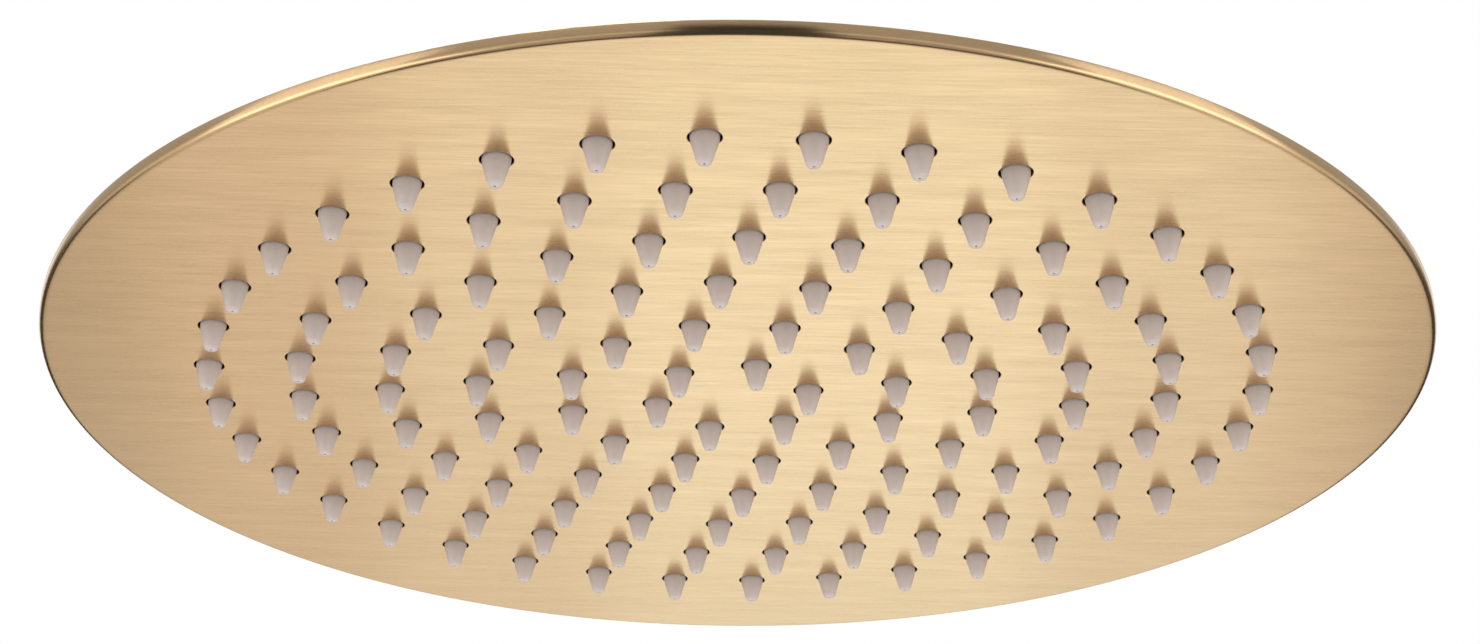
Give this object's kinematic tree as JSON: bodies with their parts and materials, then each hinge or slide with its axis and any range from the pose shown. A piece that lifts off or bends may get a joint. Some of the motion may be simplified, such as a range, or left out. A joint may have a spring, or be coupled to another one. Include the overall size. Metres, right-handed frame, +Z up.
{
  "type": "rain shower head",
  "caption": "Round flat rain shower head in brushed brass with rings of soft nozzles, a slim rim, a spun back and a threaded swivel ball inlet.",
  "frame": {"origin": "centre of the inlet thread's mouth", "axes": "+Z up along the inlet's axis into the shower arm; the spray face looks along -Z"},
  "size_m": [0.25, 0.25, 0.0613],
  "materials": {
    "brushed_brass": "brushed in one direction",
    "turned_brass": "satin turned",
    "silicone": "matt",
    "seal_rubber": "matt",
    "plastic": "matt",
    "screen_steel": "plain"
  },
  "bodies": {
    "inlet": {"swivel_inlet": "turned_brass", "inlet_washer": "seal_rubber", "filter_screen": "screen_steel", "flow_regulator": "plastic"},
    "seat": {"ball_seat": "plastic"},
    "head": {"face_plate": "brushed_brass", "nozzle_mat": "silicone", "mat_retainer": "plastic", "back_cover": "brushed_brass", "socket_boss": "turned_brass", "ball_seal": "seal_rubber", "retaining_collar": "turned_brass"}
  },
  "joints": [
    {"name": "swivel_spin", "type": "hinge", "parent": "inlet", "child": "seat", "pos_m": [0, 0, -0.03279], "axis": [0, 0, 1], "continuous": true},
    {"name": "swivel_tilt", "type": "hinge", "parent": "seat", "child": "head", "pos_m": [0, 0, -0.03279], "axis": [1, 0, 0], "range_deg": [-15, 15]}
  ]
}
